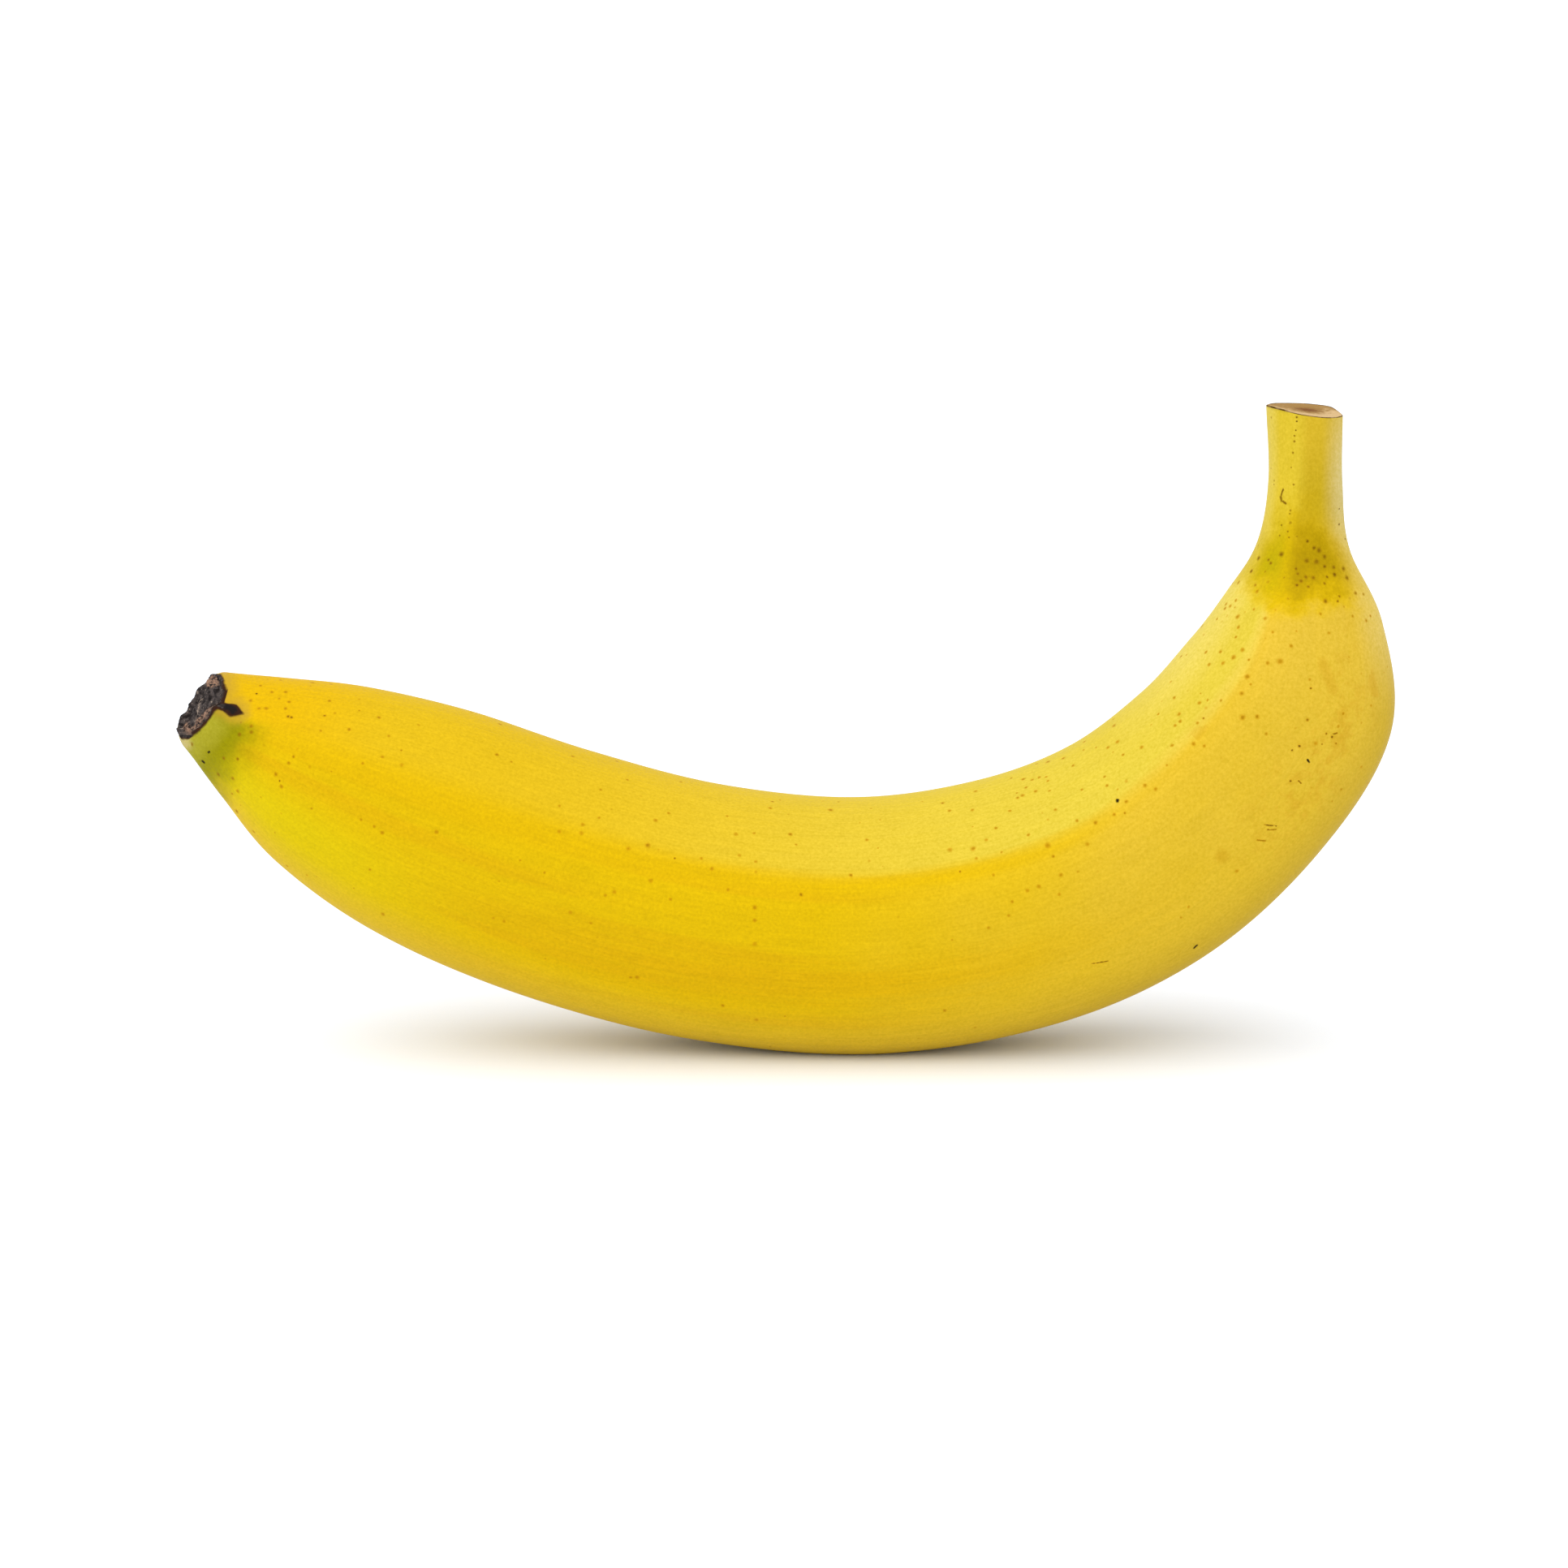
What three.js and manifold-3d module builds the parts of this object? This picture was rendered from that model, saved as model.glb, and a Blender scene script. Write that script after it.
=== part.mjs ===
// A ripe banana that stands on the flat of its back, with its stem up, as one closed solid.
// Millimetres. +X runs from the blossom end to the stem, +Y across the fruit, +Z up.
// The origin is the middle of the small flat that the fruit rests on.

import * as THREE from 'three';
import { mergeVertices } from 'three/addons/utils/BufferGeometryUtils.js';
import Module from 'manifold-3d';

// Sections from the blossom end to the cut stem. x and z place the middle of a section, heading is
// the way the fruit runs there, in degrees up from +X, and deep is half the section's size in the
// plane of the bend. The back dips half a millimetre below the floor, and what dips is trimmed away.
const SECTIONS = [
  { x: -95.0, z: 52.2, heading: -26, deep: 5.8 },
  { x: -87.9, z: 47.6, heading: -28, deep: 9.7 },
  { x: -77.7, z: 41.8, heading: -28, deep: 14.5 },
  { x: -63.2, z: 34.8, heading: -24, deep: 17.8 },
  { x: -44.4, z: 27.2, heading: -19, deep: 19.0 },
  { x: -21.9, z: 21.1, heading: -10, deep: 19.4 },
  { x: 2.0, z: 19.0, heading: 2, deep: 19.6 },
  { x: 23.8, z: 22.4, heading: 16, deep: 19.5 },
  { x: 41.7, z: 30.1, heading: 32, deep: 19.0 },
  { x: 55.5, z: 42.1, heading: 49, deep: 18.0 },
  { x: 64.0, z: 54.9, heading: 66, deep: 16.4 },
  { x: 66.0, z: 66.5, heading: 79, deep: 11.6 },
  { x: 65.6, z: 75.4, heading: 87, deep: 6.7 },
  { x: 65.7, z: 84.9, heading: 90, deep: 5.3 },
  { x: 65.3, z: 95.4, heading: 90, deep: 5.4 },
];
const WIDE_PER_DEEP = 0.94;

// The blossom end swings to the near side by this much, over the first share of the fruit.
const TIP_SWING = 4;
const SWING_REACH = 0.3;

// How sharp the ridges are, where 6 is nearly round and 14 is clearly angled, and how far in degrees
// the sections twist. Both grow from the middle of the fruit to its ends.
const MIDDLE_EDGE = 7;
const END_EDGE = 13;
const END_TWIST = -13;

// Where the flattened sides of a section face, in degrees from the near side (-Y) to the inside
// of the bend. Ridges stand between them: the widest gaps give the strongest ridges.
const SIDES_FACE = [90, 56, -2, -34, -90, -146, -178, 124];

// How the two end faces lean, in degrees, out of the bend and to the near side. The lean fades away
// over a share of the fruit's length.
const STEM_SLANT = { outward: 6, near: 3 };
const SCAR_SLANT = { outward: -8, near: 19 };
const SLANT_REACH = 0.08;

// How finely the solid is faceted.
const RINGS_PER_SECTION = 4;
const POINTS_PER_RING = 32;

// The size of the block that trims the back to the floor and so leaves the resting flat.
const CUTTER_SIDE = 80;

const PEEL = { color: 0xe6c01f, roughness: 0.48, metalness: 0 };

const ringCount = (SECTIONS.length - 1) * RINGS_PER_SECTION;
const middles = smoothCurve(({ x, z }) => new THREE.Vector3(x, 0, z));
const shapes = smoothCurve(({ heading, deep }) => new THREE.Vector3(heading, deep, 0));

// A smooth curve through the values of every section.
function smoothCurve(values) {
  return new THREE.CatmullRomCurve3(SECTIONS.map(values), false, 'catmullrom');
}

// The middle of the section at t, from 0 at the blossom end to 1 at the cut stem.
function middleAt(t) {
  const middle = middles.getPoint(t);
  middle.y = -TIP_SWING * Math.max(0, 1 - t / SWING_REACH) ** 2;
  return middle;
}

// Distance from the middle of a section of unit size to its outline.
function outlineRadius(angle, edge) {
  let sum = 0;
  for (const faces of SIDES_FACE) {
    const towards = Math.cos(angle - THREE.MathUtils.degToRad(faces));
    sum += Math.max(0, towards) ** edge;
  }
  return sum ** (-1 / edge);
}

// How far a slanted end face moves a point out of its section, from where the point lies in it.
function slantShift(slant, inward, near) {
  const outwardRise = Math.tan(THREE.MathUtils.degToRad(slant.outward));
  const nearRise = Math.tan(THREE.MathUtils.degToRad(slant.near));
  return inward * outwardRise - near * nearRise;
}

// The points of the ring at t.
function ringAt(t) {
  const middle = middleAt(t);
  const { x: headingDegrees, y: deep } = shapes.getPoint(t);
  const heading = THREE.MathUtils.degToRad(headingDegrees);
  const along = new THREE.Vector3(Math.cos(heading), 0, Math.sin(heading));
  const inside = new THREE.Vector3(-Math.sin(heading), 0, Math.cos(heading));
  const nearSide = new THREE.Vector3(0, -1, 0);
  const towardsEnd = (2 * t - 1) ** 2;
  const edge = THREE.MathUtils.lerp(MIDDLE_EDGE, END_EDGE, towardsEnd);
  const twist = THREE.MathUtils.degToRad(END_TWIST * towardsEnd);
  const scarShare = 1 - THREE.MathUtils.smoothstep(t, 0, SLANT_REACH);
  const stemShare = THREE.MathUtils.smoothstep(t, 1 - SLANT_REACH, 1);
  const points = [];
  for (let i = 0; i < POINTS_PER_RING; i += 1) {
    const angle = (i / POINTS_PER_RING) * 2 * Math.PI;
    const reach = outlineRadius(angle - twist, edge) * deep;
    const near = reach * Math.cos(angle) * WIDE_PER_DEEP;
    const inward = reach * Math.sin(angle);
    const shift = stemShare * slantShift(STEM_SLANT, inward, near)
      - scarShare * slantShift(SCAR_SLANT, inward, near);
    points.push(middle.clone()
      .addScaledVector(nearSide, near)
      .addScaledVector(inside, inward)
      .addScaledVector(along, shift));
  }
  return points;
}

// The skin of the fruit: rings joined side by side, closed by a fan of triangles at each end.
function fruitGeometry() {
  const points = [];
  for (let ring = 0; ring <= ringCount; ring += 1) {
    points.push(...ringAt(ring / ringCount));
  }
  const scarMiddle = points.push(middleAt(0)) - 1;
  const cutMiddle = points.push(middleAt(1)) - 1;
  const lastRing = ringCount * POINTS_PER_RING;
  const triangles = [];
  for (let i = 0; i < POINTS_PER_RING; i += 1) {
    const next = (i + 1) % POINTS_PER_RING;
    for (let ring = 0; ring < ringCount; ring += 1) {
      const here = ring * POINTS_PER_RING;
      const after = here + POINTS_PER_RING;
      triangles.push(here + i, after + i, here + next);
      triangles.push(here + next, after + i, after + next);
    }
    triangles.push(scarMiddle, i, next);
    triangles.push(cutMiddle, lastRing + next, lastRing + i);
  }
  const geometry = new THREE.BufferGeometry().setFromPoints(points);
  geometry.setIndex(triangles);
  return geometry;
}

// Cuts away whatever lies below the floor, which leaves the resting flat.
async function trimToFloor(geometry) {
  const wasm = await Module();
  wasm.setup();
  const solidOf = (shape) => {
    const bare = shape.clone();
    bare.deleteAttribute('normal');
    bare.deleteAttribute('uv');
    const merged = mergeVertices(bare);
    return new wasm.Manifold(new wasm.Mesh({
      numProp: 3,
      vertProperties: Float32Array.from(merged.getAttribute('position').array),
      triVerts: Uint32Array.from(merged.getIndex().array),
    }));
  };
  const cutter = new THREE.BoxGeometry(CUTTER_SIDE, CUTTER_SIDE, CUTTER_SIDE);
  cutter.translate(0, 0, -CUTTER_SIDE / 2);
  const cut = solidOf(geometry).subtract(solidOf(cutter)).getMesh();
  const trimmed = new THREE.BufferGeometry();
  trimmed.setAttribute('position', new THREE.BufferAttribute(cut.vertProperties, 3));
  trimmed.setIndex(new THREE.BufferAttribute(cut.triVerts, 1));
  trimmed.computeVertexNormals();
  return trimmed;
}

const skin = await trimToFloor(fruitGeometry());

const banana = new THREE.Mesh(skin, new THREE.MeshStandardMaterial(PEEL));
banana.name = 'banana';

const fruit = new THREE.Group();
fruit.add(banana);

export default fruit;
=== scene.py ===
# A ripe banana that stands on the flat of its back, with its stem up and its blossom end to the left.
# Metres. +X runs from the blossom end to the stem, +Y away from the camera, +Z up.
# The fruit is one lofted skin: its sections follow one rule, and its peel, scar and cut follow its surface.

import math

import bpy
import numpy as np
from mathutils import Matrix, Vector


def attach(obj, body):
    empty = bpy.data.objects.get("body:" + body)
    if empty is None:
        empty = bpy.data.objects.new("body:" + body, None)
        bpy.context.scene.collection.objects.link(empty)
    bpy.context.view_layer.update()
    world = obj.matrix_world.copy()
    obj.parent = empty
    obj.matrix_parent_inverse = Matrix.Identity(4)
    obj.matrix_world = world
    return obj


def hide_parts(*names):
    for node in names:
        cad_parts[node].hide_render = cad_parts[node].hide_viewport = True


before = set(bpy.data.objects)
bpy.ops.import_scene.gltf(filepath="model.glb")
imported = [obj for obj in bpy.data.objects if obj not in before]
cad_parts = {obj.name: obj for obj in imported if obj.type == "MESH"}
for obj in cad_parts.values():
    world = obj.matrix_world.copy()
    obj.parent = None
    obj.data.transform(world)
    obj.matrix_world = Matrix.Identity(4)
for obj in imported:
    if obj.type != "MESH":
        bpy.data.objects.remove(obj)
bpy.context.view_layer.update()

MM = 0.001

# Sections from the blossom end to the cut stem, as the solid has them: the middle's x and z and half
# the size in the plane of the bend in millimetres, and the heading in degrees up from +X.
SECTIONS = (
    {"x": -95.0, "z": 52.2, "heading": -26, "deep": 5.8},
    {"x": -87.9, "z": 47.6, "heading": -28, "deep": 9.7},
    {"x": -77.7, "z": 41.8, "heading": -28, "deep": 14.5},
    {"x": -63.2, "z": 34.8, "heading": -24, "deep": 17.8},
    {"x": -44.4, "z": 27.2, "heading": -19, "deep": 19.0},
    {"x": -21.9, "z": 21.1, "heading": -10, "deep": 19.4},
    {"x": 2.0, "z": 19.0, "heading": 2, "deep": 19.6},
    {"x": 23.8, "z": 22.4, "heading": 16, "deep": 19.5},
    {"x": 41.7, "z": 30.1, "heading": 32, "deep": 19.0},
    {"x": 55.5, "z": 42.1, "heading": 49, "deep": 18.0},
    {"x": 64.0, "z": 54.9, "heading": 66, "deep": 16.4},
    {"x": 66.0, "z": 66.5, "heading": 79, "deep": 11.6},
    {"x": 65.6, "z": 75.4, "heading": 87, "deep": 6.7},
    {"x": 65.7, "z": 84.9, "heading": 90, "deep": 5.3},
    {"x": 65.3, "z": 95.4, "heading": 90, "deep": 5.4},
)
WIDE_PER_DEEP = 0.94

# The blossom end swings to the near side (-Y), over the first share of the sections.
TIP_SWING = 4 * MM
SWING_REACH = 0.3

# The ridges' sharpness and the twist in degrees, which both grow from the middle to the ends, and
# where the flattened sides face, in degrees from the near side to the inside of the bend.
MIDDLE_EDGE = 7
END_EDGE = 13
END_TWIST = -13
SIDES_FACE = (90, 56, -2, -34, -90, -146, -178, 124)

# How the two end faces lean, in degrees, and the share of the sections over which the lean fades.
STEM_LEANS_OUT = 6
STEM_LEANS_NEAR = 3
SCAR_LEANS_OUT = -8
SCAR_LEANS_NEAR = 19
LEAN_REACH = 0.08

# The cut is a little twisted: how much more it leans to the near side for each metre out of the bend.
CUT_TWIST = 15

# How finely the skin is laid out. Rings lie closer together towards both ends.
BODY_RINGS = 360
END_CROWDING = 0.55
ROUNDING_RINGS = 6
FACE_RINGS = 21
POINTS_ROUND = 220
SCAR_ROUNDING = 0.7 * MM
CUT_ROUNDING = 0.12 * MM

# The picture's frame and the camera that matches it.
PICTURE_SIDE = 1932
LENS = 100
SENSOR = 36
LOOKS_AT = Vector((-10.08, 0, 39.75)) * MM
CAMERA_DISTANCE = 644 * MM
CAMERA_ELEVATION = 12

FLOOR_SIDE = 20


def linear(red, green, blue):
    """A colour given as 0 to 255 display values, as the linear light that shaders use."""
    def light(value):
        share = value / 255
        if share <= 0.04045:
            return share / 12.92
        return ((share + 0.055) / 1.055) ** 2.4
    return (light(red), light(green), light(blue), 1.0)


def add_object(name, data):
    """A new object in the scene, at the origin."""
    added = bpy.data.objects.new(name, data)
    bpy.context.scene.collection.objects.link(added)
    return added


# Formulas in node trees

class Field:
    """A value that a node tree works out at each point, so that formulas read as arithmetic."""

    def __init__(self, socket):
        self.socket = socket

    def __add__(self, other):
        return arithmetic("ADD", self, other)

    def __radd__(self, other):
        return arithmetic("ADD", other, self)

    def __sub__(self, other):
        return arithmetic("SUBTRACT", self, other)

    def __rsub__(self, other):
        return arithmetic("SUBTRACT", other, self)

    def __mul__(self, other):
        return arithmetic("MULTIPLY", self, other)

    def __truediv__(self, other):
        return arithmetic("DIVIDE", self, other)

    def __rtruediv__(self, other):
        return arithmetic("DIVIDE", other, self)

    def __pow__(self, other):
        return arithmetic("POWER", self, other)


def is_vector(value):
    if isinstance(value, Field):
        return value.socket.type == "VECTOR"
    return not isinstance(value, (int, float))


def feed(socket, value):
    """Links a field to a socket, or sets the socket to a plain value."""
    if isinstance(value, Field):
        socket.id_data.links.new(value.socket, socket)
    else:
        socket.default_value = value


def add_node(tree, kind, inputs=None, **settings):
    """A new node with its settings made and its named or numbered inputs fed."""
    node = tree.nodes.new(kind)
    for name, value in settings.items():
        setattr(node, name, value)
    for key, value in (inputs or {}).items():
        if isinstance(key, str):
            socket = next(found for found in node.inputs if found.name == key and found.enabled)
        else:
            socket = node.inputs[key]
        feed(socket, value)
    return node


def output(node, name=None):
    """The field at a node's named output, or at its first one in use."""
    return Field(next(
        found for found in node.outputs
        if found.enabled and name in (None, found.name)
    ))


def tree_of(*values):
    return next(value.socket.id_data for value in values if isinstance(value, Field))


def arithmetic(operation, *terms):
    """A sum, product and so on of fields and plain values, for numbers or for vectors."""
    tree = tree_of(*terms)
    if not any(is_vector(term) for term in terms):
        kind = "ShaderNodeMath"
    else:
        kind = "ShaderNodeVectorMath"
        if operation == "MULTIPLY" and not all(is_vector(term) for term in terms):
            terms = sorted(terms, key=is_vector, reverse=True)
            return output(add_node(tree, kind, {0: terms[0], "Scale": terms[1]}, operation="SCALE"))
    return output(add_node(tree, kind, dict(enumerate(terms)), operation=operation))


def measure(operation, left, right):
    """A number taken from two vectors, such as their dot product or distance."""
    tree = tree_of(left, right)
    node = add_node(tree, "ShaderNodeVectorMath", {0: left, 1: right}, operation=operation)
    return output(node, "Value")


def length_of(value):
    return measure("DISTANCE", value, (0.0, 0.0, 0.0))


def cosine(angle):
    return arithmetic("COSINE", angle)


def sine(angle):
    return arithmetic("SINE", angle)


def larger(left, right):
    return arithmetic("MAXIMUM", left, right)


def smaller(left, right):
    return arithmetic("MINIMUM", left, right)


def unsigned(value):
    return arithmetic("ABSOLUTE", value)


def vector(x, y, z):
    return output(add_node(tree_of(x, y, z), "ShaderNodeCombineXYZ", {"X": x, "Y": y, "Z": z}))


def parts_of(value):
    """The three numbers of a vector."""
    node = add_node(tree_of(value), "ShaderNodeSeparateXYZ", {0: value})
    return [Field(socket) for socket in node.outputs]


def ramp(value, start, end, low=0.0, high=1.0):
    """Runs smoothly from low to high while the value goes from start to end."""
    node = add_node(
        tree_of(value), "ShaderNodeMapRange",
        {"Value": value, "From Min": start, "From Max": end, "To Min": low, "To Max": high},
        interpolation_type="SMOOTHSTEP",
    )
    return output(node)


def bump_at(value, middle, reach):
    """One at the middle, falling smoothly to none at a reach to either side."""
    return ramp(unsigned(value - middle), reach, 0.0)


def noise(place, size, detail=2.0, roughness=0.5):
    """Soft noise around one half, with patches of about the given size."""
    node = add_node(
        tree_of(place), "ShaderNodeTexNoise",
        {"Vector": place, "Scale": 1 / size, "Detail": detail, "Roughness": roughness},
        noise_dimensions="3D",
    )
    return Field(node.outputs[0])


def to_segment(place, middle, half_run):
    """Distance from a place to the straight run that reaches half_run to both sides of its middle.

    A dot's half run is zero, and a node that divides by zero gives zero.
    """
    offset = place - middle
    share = measure("DOT_PRODUCT", offset, half_run) / measure("DOT_PRODUCT", half_run, half_run)
    return measure("DISTANCE", offset, half_run * larger(smaller(share, 1.0), -1.0))


# The camera, which also places what the picture shows

def build_camera():
    data = bpy.data.cameras.new("camera")
    data.lens = LENS
    data.sensor_width = SENSOR
    data.clip_end = 2 * FLOOR_SIDE
    camera = add_object("camera", data)
    elevation = math.radians(CAMERA_ELEVATION)
    backward = Vector((0, -math.cos(elevation), math.sin(elevation)))
    camera.location = LOOKS_AT + CAMERA_DISTANCE * backward
    camera.rotation_euler = (math.pi / 2 - elevation, 0, 0)
    bpy.context.scene.camera = camera
    bpy.context.view_layer.update()
    return camera


def on_fruit(camera, pixel):
    """The point of the solid that a pixel of the picture shows."""
    across = (pixel[0] / PICTURE_SIDE - 0.5) * SENSOR / LENS
    upward = (0.5 - pixel[1] / PICTURE_SIDE) * SENSOR / LENS
    ray = camera.matrix_world.to_3x3() @ Vector((across, upward, -1))
    found, place, _normal, _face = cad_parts["banana"].ray_cast(camera.location, ray.normalized())
    if not found:
        raise ValueError(f"pixel {pixel} is off the fruit")
    return place


# Helpers for finishes

def start_finish(name, specular):
    """A new material, its tree and its shader, with the gloss set."""
    material = bpy.data.materials.new(name)
    material.use_nodes = True
    tree = material.node_tree
    shader = tree.nodes["Principled BSDF"]
    shader.inputs["Specular IOR Level"].default_value = specular
    return material, tree, shader


def surface(tree, name, kind="Vector"):
    """A value that the mesh stores, by its attribute's name."""
    node = add_node(tree, "ShaderNodeAttribute", attribute_name=name, attribute_type="GEOMETRY")
    return output(node, kind)


def paint(below, above, amount, blend="MIX"):
    """One colour laid over another by an amount from 0 to 1."""
    node = add_node(
        tree_of(below, above, amount), "ShaderNodeMix", {0: amount, 6: below, 7: above},
        data_type="RGBA", blend_type=blend,
    )
    return Field(node.outputs[2])


# Floor and light

FLOOR_WHITE = (0.91, 0.94, 0.99, 1.0)
FLOOR_ROUGHNESS = 0.9
FLOOR_SPECULAR = 0.0
WORLD_LIGHT = 0.92
WORLD_TINT = (0.97, 0.99, 1.03, 1.0)
SOFT_LIGHT = 1.8
SOFT_LIGHT_TINT = (1.03, 1.0, 0.96)
SOFT_LIGHT_SPREAD = 95
SOFT_LIGHT_TURN = (24, -18, 0)


def build_floor():
    half = FLOOR_SIDE / 2
    corners = [(-half, -half, 0), (half, -half, 0), (half, half, 0), (-half, half, 0)]
    mesh = bpy.data.meshes.new("floor")
    mesh.from_pydata(corners, [], [(0, 1, 2, 3)])
    floor = add_object("floor", mesh)
    material, _tree, shader = start_finish("floor_paint", FLOOR_SPECULAR)
    shader.inputs["Base Color"].default_value = FLOOR_WHITE
    shader.inputs["Roughness"].default_value = FLOOR_ROUGHNESS
    mesh.materials.append(material)


def build_light():
    world = bpy.data.worlds.new("studio")
    world.use_nodes = True
    sky = world.node_tree.nodes["Background"]
    sky.inputs["Color"].default_value = WORLD_TINT
    sky.inputs["Strength"].default_value = WORLD_LIGHT
    bpy.context.scene.world = world
    lamp = bpy.data.lights.new("soft_light", "SUN")
    lamp.energy = SOFT_LIGHT
    lamp.color = SOFT_LIGHT_TINT
    lamp.angle = math.radians(SOFT_LIGHT_SPREAD)
    light = add_object("soft_light", lamp)
    light.rotation_euler = [math.radians(turn) for turn in SOFT_LIGHT_TURN]
    bpy.context.scene.view_settings.view_transform = "Standard"


# The spine: one point for each ring of the skin, which carries what the ring's section needs

def smooth_curve(values, t):
    """The Catmull-Rom curve through evenly spaced values, at t from 0 to 1."""
    before_first = 2 * values[0] - values[1]
    after_last = 2 * values[-1] - values[-2]
    padded = [before_first, *values, after_last]
    spans = len(values) - 1
    span = min(int(t * spans), spans - 1)
    share = t * spans - span
    p0, p1, p2, p3 = padded[span:span + 4]
    turn = (3 * (p1 - p2) + p3 - p0) * share + 2 * p0 - 5 * p1 + 4 * p2 - p3
    return p1 + 0.5 * share * (p2 - p0 + share * turn)


def smooth_step(value, start, end):
    share = min(1, max(0, (value - start) / (end - start)))
    return share * share * (3 - 2 * share)


def section_value(name, t):
    """One of the sections' values at t, on the smooth curve through all of them."""
    return smooth_curve([row[name] for row in SECTIONS], t)


def spine_place(t):
    swing = TIP_SWING * max(0, 1 - t / SWING_REACH) ** 2
    return Vector((section_value("x", t) * MM, -swing, section_value("z", t) * MM))


def arc_table(steps=2000):
    """Values of t and how far along the fruit each one lies."""
    ts = [step / steps for step in range(steps + 1)]
    places = [spine_place(t) for t in ts]
    lengths = [0.0]
    for before, after in zip(places, places[1:]):
        lengths.append(lengths[-1] + (after - before).length)
    return ts, lengths


def end_face_rows(t, rounding, side):
    """The rows of an end face, from its middle out over its rounded edge."""
    flat = 1 - rounding / (section_value("deep", t) * MM)
    face = [(flat * ring / FACE_RINGS, 0.0) for ring in range(FACE_RINGS)]
    for ring in range(ROUNDING_RINGS):
        turn = math.pi / 2 * (1 - ring / ROUNDING_RINGS)
        share = 1 - (1 - flat) * (1 - math.cos(turn))
        face.append((share, rounding * (1 - math.sin(turn))))
    return [(t, share, -side * back, side) for share, back in face]


def ring_rows(ts, lengths):
    """Each ring's t, its share of the full section, how far it is moved along, and its end face.

    The end face is -1 on the scar, 1 on the cut and 0 between them.
    """
    first = SCAR_ROUNDING
    last = lengths[-1] - CUT_ROUNDING
    rows = end_face_rows(0, SCAR_ROUNDING, -1)
    for ring in range(BODY_RINGS + 1):
        even = ring / BODY_RINGS
        crowded = even - END_CROWDING * math.sin(2 * math.pi * even) / (2 * math.pi)
        t = float(np.interp(first + (last - first) * crowded, lengths, ts))
        rows.append((t, 1.0, 0.0, 0))
    return rows + end_face_rows(1, CUT_ROUNDING, 1)[::-1]


def ring_values(t, share, moved, side, along):
    """What the skin needs to know about one ring."""
    towards_end = (2 * t - 1) ** 2
    return {
        "heading": math.radians(section_value("heading", t)),
        "deep": section_value("deep", t) * MM,
        "edge": MIDDLE_EDGE + (END_EDGE - MIDDLE_EDGE) * towards_end,
        "twist": math.radians(END_TWIST) * towards_end,
        "along": along,
        "scar_lean": 1 - smooth_step(t, 0, LEAN_REACH),
        "stem_lean": smooth_step(t, 1 - LEAN_REACH, 1),
        "share": share,
        "moved": moved,
        "end_face": side,
    }


def build_spine():
    """A line of points, one to a ring, with the ring's values as attributes."""
    ts, lengths = arc_table()
    rows = ring_rows(ts, lengths)
    rings = [ring_values(*row, float(np.interp(row[0], ts, lengths))) for row in rows]
    mesh = bpy.data.meshes.new("banana_spine")
    mesh.from_pydata([spine_place(row[0]) for row in rows], [], [])
    for name in rings[0]:
        numbers = [ring[name] for ring in rings]
        mesh.attributes.new(name, "FLOAT", "POINT").data.foreach_set("value", numbers)
    return add_object("banana_spine", mesh)


# Geometry trees

INPUT_KINDS = {
    int: "NodeSocketInt",
    float: "NodeSocketFloat",
    bpy.types.Material: "NodeSocketMaterial",
    bpy.types.Object: "NodeSocketObject",
    Vector: "NodeSocketVector",
}


def start_tree(name, sizes):
    """An empty geometry tree with a named input for each size, and those inputs as fields."""
    tree = bpy.data.node_groups.new(name, "GeometryNodeTree")
    tree.interface.new_socket("Geometry", in_out="OUTPUT", socket_type="NodeSocketGeometry")
    tree.interface.new_socket("Geometry", in_out="INPUT", socket_type="NodeSocketGeometry")
    for title, value in sizes.items():
        tree.interface.new_socket(title, in_out="INPUT", socket_type=INPUT_KINDS[type(value)])
    entry = tree.nodes.new("NodeGroupInput")
    return tree, {socket.name: Field(socket) for socket in entry.outputs if socket.name}


def make_mesh(base, tree, sizes):
    """Runs the tree on an object and leaves its result there as a plain mesh."""
    modifier = base.modifiers.new(tree.name, "NODES")
    modifier.node_group = tree
    for socket in tree.interface.items_tree:
        if socket.name in sizes:
            modifier[socket.identifier] = sizes[socket.name]
    depsgraph = bpy.context.evaluated_depsgraph_get()
    mesh = bpy.data.meshes.new_from_object(
        base.evaluated_get(depsgraph), preserve_all_data_layers=True, depsgraph=depsgraph
    )
    base.modifiers.remove(modifier)
    base.data = mesh


def geometry_step(kind, geometry, inputs=None, **settings):
    """The geometry after one more node."""
    node = add_node(geometry.socket.id_data, kind, inputs, **settings)
    feed(node.inputs[0], geometry)
    return output(node)


def store(geometry, name, value, domain="POINT"):
    kind = "FLOAT_VECTOR" if is_vector(value) else "FLOAT"
    return geometry_step(
        "GeometryNodeStoreNamedAttribute", geometry, {"Name": name, "Value": value},
        data_type=kind, domain=domain,
    )


def named(tree, name, kind="FLOAT"):
    node = add_node(tree, "GeometryNodeInputNamedAttribute", {"Name": name}, data_type=kind)
    return output(node, "Attribute")


def value_at(geometry, value, index):
    """The value that a field has at one point of a geometry."""
    kind = "FLOAT_VECTOR" if is_vector(value) else "FLOAT"
    node = add_node(
        tree_of(geometry), "GeometryNodeSampleIndex",
        {"Geometry": geometry, "Value": value, "Index": index}, data_type=kind, domain="POINT",
    )
    return output(node)


def position(tree):
    return output(add_node(tree, "GeometryNodeInputPosition"))


# The skin: the spine's sections joined into one closed surface

# Points closer than this become one, at the seam and in the middle of each end face.
SEAM_GAP = 0.001 * MM


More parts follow.
